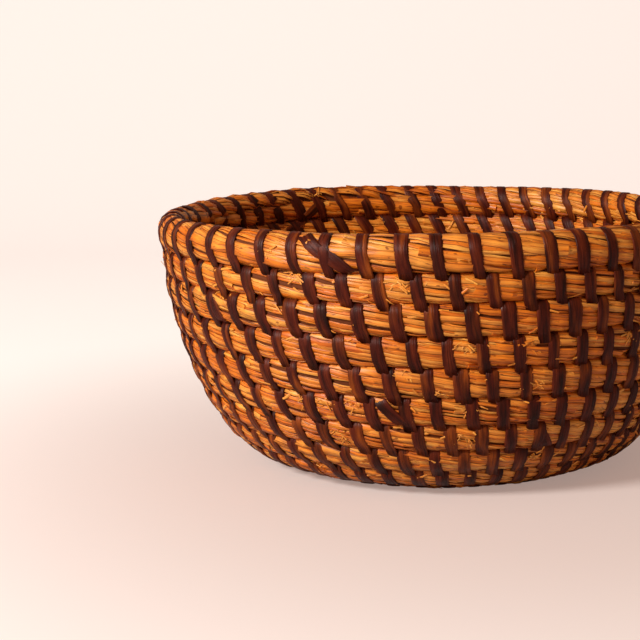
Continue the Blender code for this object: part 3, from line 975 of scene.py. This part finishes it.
class BASKET_OT_core(bpy.types.Operator):
    """Fill the bundle with straw deep inside it, coloured dark as painted shade"""

    bl_idname = "basket.core"
    bl_label = "Inside of the bundle"

    def execute(self, context):
        shade = straw_in_painted_shade()
        for node, first, last in STRETCHES:
            name = node.replace("straw_coil", "bundle_core")
            core = linked(name, core_mesh(COIL, name, first, last))
            core.data.materials.append(shade)
            finished(core, "straw", node)
        return {"FINISHED"}


def splint_path(coil, first, last, settings, rng, paths):
    """The path of one splint: round and round the bundle from its first stitch to its last."""
    stitches = last - first
    way, gone_way, below, lift, width = np.tile(PASS, (stitches, 1)).T
    number = np.repeat(np.arange(first, last), len(PASS))
    # A pass starts on top of the row, where the pass before it ends
    count = number + coil.gone(gone_way) - (gone_way < PASS_SHARES[0])
    turn = coil.turn_at(count)
    azimuth = math.tau * turn
    bite = np.repeat(rng.normal(0.0, BITE_SPREAD, stitches), len(PASS))
    bite = bite + RIM_BITE * (turn > FIRST_RIM_TURN)
    # Where the stitch is 2 mm deep between the rows it stays as it is
    deeper = np.where(below > 0, bite * eased((lift + 2.0) / 1.3), 0.0)
    way = way + np.where(way < 0.5, deeper, -deeper)
    # The first turn has no row below it, so its stitches close round it alone
    alone = (below > 0) & (turn < 1.0)
    way = np.where(alone, gone_way, way)
    lift = np.where(alone, 0.3, lift)
    width = np.where(alone, 0.9, width)
    turn = turn - np.where(alone, 0, below)
    # The rim's stitches lie full on its top, where those of a lower row are squeezed
    on_top = (turn > FIRST_RIM_TURN) & (np.minimum(way, 1.0 - way) < 0.1) & (below == 0)
    lift = np.where(on_top, FULL_LIFT, lift)
    width = np.where(on_top, 1.0, width)
    own = np.repeat(rng.normal(1.0, STITCH_WIDTH_SPREAD, stitches), len(PASS))
    uneven = 1.0 + EDGE_WAVE * np.sin(np.arange(len(way)) * 0.7 + rng.uniform(0, 6))
    half_width = settings.half_width * rng.uniform(*SPLINT_WIDTHS) * width * own * uneven
    half_width = half_width * (1.0 - NARROWER_SHARE * np.cos(azimuth - CLOSEST_AZIMUTH))
    place = coil.surface(turn, way, lift * MM)[0]
    along_row = np.stack([-np.sin(azimuth), np.cos(azimuth), np.zeros(len(turn))], axis=1)
    outward = np.cross(directions(place), along_row)
    paths.lay(place, outward, half_width, rng.uniform(), 0.0)


def tail_path(coil, stretches, settings, rng, paths):
    """A splint's end, laid slantwise over the straw and held under the stitches it meets."""
    turn = [np.linspace(first, last, TAIL_POINTS) for first, _, last, _ in stretches]
    ways = [np.linspace(start, stop, TAIL_POINTS) for _, start, _, stop in stretches]
    turn, ways = np.concatenate(turn), np.concatenate(ways)
    share = np.linspace(0.0, 1.0, len(turn))
    over = 1.0 - coil.tightness(turn, ways)
    dive = TAIL_DIVE * eased((np.abs(share - 0.5) - 0.42) / 0.08)
    place, outward = coil.surface(turn, ways, (TAIL_LIFT + TAIL_RISE * over) * MM - dive)
    half_width = settings.half_width * rng.uniform(*TAIL_WIDTHS)
    paths.lay(place, outward, half_width, rng.uniform(), 0.0)


def splint_tails(coil, low, high):
    """The tucked ends of the splint that makes these stitches: photographed ones and its own."""
    tails = [tail for tail in SEEN_TAILS if low <= coil.count_at(tail[0][0]) < high]
    starts = low + coil.gone(TAIL_WAYS[0])
    start, stop = float(coil.turn_at(starts)), float(coil.turn_at(starts - TAIL_STITCHES))
    if 1.0 < start < LAST_TAIL_TURN:
        tails.append(((start, TAIL_WAYS[0], stop, TAIL_WAYS[1]),))
    return tails


class BASKET_OT_splints(bpy.types.Operator):
    """Wrap the bark splints round the bundle"""

    bl_idname = "basket.splints"
    bl_label = "Bark splints"

    def execute(self, context):
        settings = context.scene.basket_splint
        tree = strands_tree()
        values = {**BARK_SECTION, "Material": split_bark()}
        rng = np.random.default_rng(SEED + 100)
        for zone, first, last in ZONES:
            nodes = sorted(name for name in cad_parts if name.startswith(zone))
            inside = np.flatnonzero((COIL.stitches >= first) & (COIL.stitches < last))
            for number, node in enumerate(nodes):
                low = inside[0] + len(inside) * number // len(nodes)
                high = inside[0] + len(inside) * (number + 1) // len(nodes)
                paths = Paths()
                splint_path(COIL, low, high, settings, rng, paths)
                for tail in splint_tails(COIL, low, high):
                    tail_path(COIL, tail, settings, rng, paths)
                splint = grown(paths.piece(f"bark_{node}"), tree, values)
                finished(splint, "split_bark", node)
        binding = grown(knot_stitches(COIL).piece("start_binding"), tree, values)
        finished(binding, "split_bark")
        return {"FINISHED"}


def matt_paper(colour):
    """Studio paper: matt and pale; what the camera sees of it is lifted towards white, less so
    beside the basket as painted shade.
    """
    values = {"Roughness": 0.9, "Specular IOR Level": 0.1, "Base Color": [*colour, 1.0]}
    material, tree, shader = principled("matt paper", values)
    place = add(tree, "ShaderNodeTexCoord").outputs["Object"]
    # The lift grows with distance from the basket, so the paper beside it is darker: painted shade
    away = add(tree, "ShaderNodeVectorMath", {0: place, 1: PAINTED_SHADE_MIDDLE}, operation="DISTANCE")
    near, far = PAINTED_SHADE_REACH
    limits = {0: away.outputs["Value"], 1: near, 2: far}
    farther = add(tree, "ShaderNodeMapRange", limits, interpolation_type="SMOOTHSTEP")
    lifts = {0: farther, 6: opaque(PAPER_LIFTS[0]), 7: opaque(PAPER_LIFTS[1])}
    lift = add(tree, "ShaderNodeMix", lifts, data_type="RGBA").outputs[2]
    seen = add(tree, "ShaderNodeLightPath").outputs["Is Camera Ray"]
    fill(tree, shader, {"Emission Color": lift, "Emission Strength": seen})
    return material


def light_world(scene):
    """A world that lights with one warm colour and shows another."""
    world = bpy.data.worlds.new("studio")
    scene.world = world
    world.use_nodes = True
    tree = world.node_tree
    seen = add(tree, "ShaderNodeLightPath").outputs["Is Camera Ray"]
    colours = {0: seen, 6: opaque(WORLD_COLOURS[0]), 7: opaque(WORLD_COLOURS[1])}
    colour = add(tree, "ShaderNodeMix", colours, data_type="RGBA").outputs[2]
    strengths = {0: seen, 3: WORLD_STRENGTHS[0], 4: WORLD_STRENGTHS[1]}
    strength = add(tree, "ShaderNodeMapRange", strengths)
    fill(tree, tree.nodes["Background"], {"Color": colour, "Strength": strength})


def add_window():
    """The one lamp: a window on the left, behind the camera."""
    data = bpy.data.lights.new("window", "AREA")
    data.shape = "DISK"
    data.size = 0.5
    data.energy = 42.0
    data.color = linear("#FFF8F0")
    lamp = linked("window", data)
    lamp.location = WINDOW_PLACE
    towards = Vector(WINDOW_TARGET) - Vector(WINDOW_PLACE)
    lamp.rotation_euler = towards.to_track_quat("-Z", "Y").to_euler()


def add_camera():
    """The camera, turned left and down and rolled a little as the photograph's is."""
    data = bpy.data.cameras.new("photo camera")
    data.sensor_width = 36.0
    data.lens = FOCAL_PIXELS / FRAME_PIXELS * data.sensor_width
    data.clip_start, data.clip_end = 0.05, 20.0
    camera = linked("photo camera", data)
    cosine, sine = math.cos(CAMERA_DOWN), math.sin(CAMERA_DOWN)
    forward = Vector((-math.sin(CAMERA_LEFT) * cosine, math.cos(CAMERA_LEFT) * cosine, -sine))
    right = Vector((math.cos(CAMERA_LEFT), math.sin(CAMERA_LEFT), 0.0))
    turned = Matrix((right, right.cross(forward), -forward)).transposed().to_4x4()
    rolled = turned @ Matrix.Rotation(-CAMERA_ROLL, 4, "Z")
    camera.matrix_world = Matrix.Translation(CAMERA_PLACE) @ rolled
    bpy.context.scene.camera = camera


def backdrop_mesh():
    """A floor that curves up into a wall behind, in one sheet."""
    half_width, front, back, height, curve, steps = 3.0, -2.0, 1.6, 2.4, 0.7, 24
    profile = [(front, 0.0)]
    for i in range(steps + 1):
        angle = i / steps * math.pi / 2
        profile.append((back - curve + curve * math.sin(angle), curve - curve * math.cos(angle)))
    profile.append((back, height))
    points = [(x, y, z) for y, z in profile for x in (-half_width, half_width)]
    faces = [(2 * i, 2 * i + 1, 2 * i + 3, 2 * i + 2) for i in range(len(profile) - 1)]
    mesh = bpy.data.meshes.new("paper_backdrop")
    mesh.from_pydata(points, [], faces)
    mesh.shade_smooth()
    return mesh


class BASKET_OT_studio(bpy.types.Operator):
    """Set up the paper, the light and the camera"""

    bl_idname = "basket.studio"
    bl_label = "Studio"

    def execute(self, context):
        scene = context.scene
        backdrop = linked("paper_backdrop", backdrop_mesh())
        backdrop.data.materials.append(matt_paper(scene.basket_studio.floor))
        light_world(scene)
        add_window()
        add_camera()
        scene.view_settings.view_transform = "Standard"
        return {"FINISHED"}


class BASKET_PT_panel(bpy.types.Panel):
    """The basket's pieces in the sidebar"""

    bl_label = "Basket"
    bl_space_type = "VIEW_3D"
    bl_region_type = "UI"
    bl_category = "Basket"

    def draw(self, context):
        for operator in OPERATORS:
            self.layout.operator(operator.bl_idname)


GROUPS = (
    ("basket_straw", BasketStraw),
    ("basket_splint", BasketSplint),
    ("basket_studio", BasketStudio),
)
OPERATORS = (BASKET_OT_straw, BASKET_OT_core, BASKET_OT_splints, BASKET_OT_studio)
COIL = Coil()


def register():
    for name, group in GROUPS:
        bpy.utils.register_class(group)
        setattr(bpy.types.Scene, name, bpy.props.PointerProperty(type=group))
    for operator in OPERATORS:
        bpy.utils.register_class(operator)
    bpy.utils.register_class(BASKET_PT_panel)


def unregister():
    bpy.utils.unregister_class(BASKET_PT_panel)
    for operator in reversed(OPERATORS):
        bpy.utils.unregister_class(operator)
    for name, group in reversed(GROUPS):
        delattr(bpy.types.Scene, name)
        bpy.utils.unregister_class(group)


def main():
    register()
    bpy.ops.basket.straw()
    bpy.ops.basket.core()
    bpy.ops.basket.splints()
    bpy.ops.basket.studio()


if __name__ == "__main__":
    main()
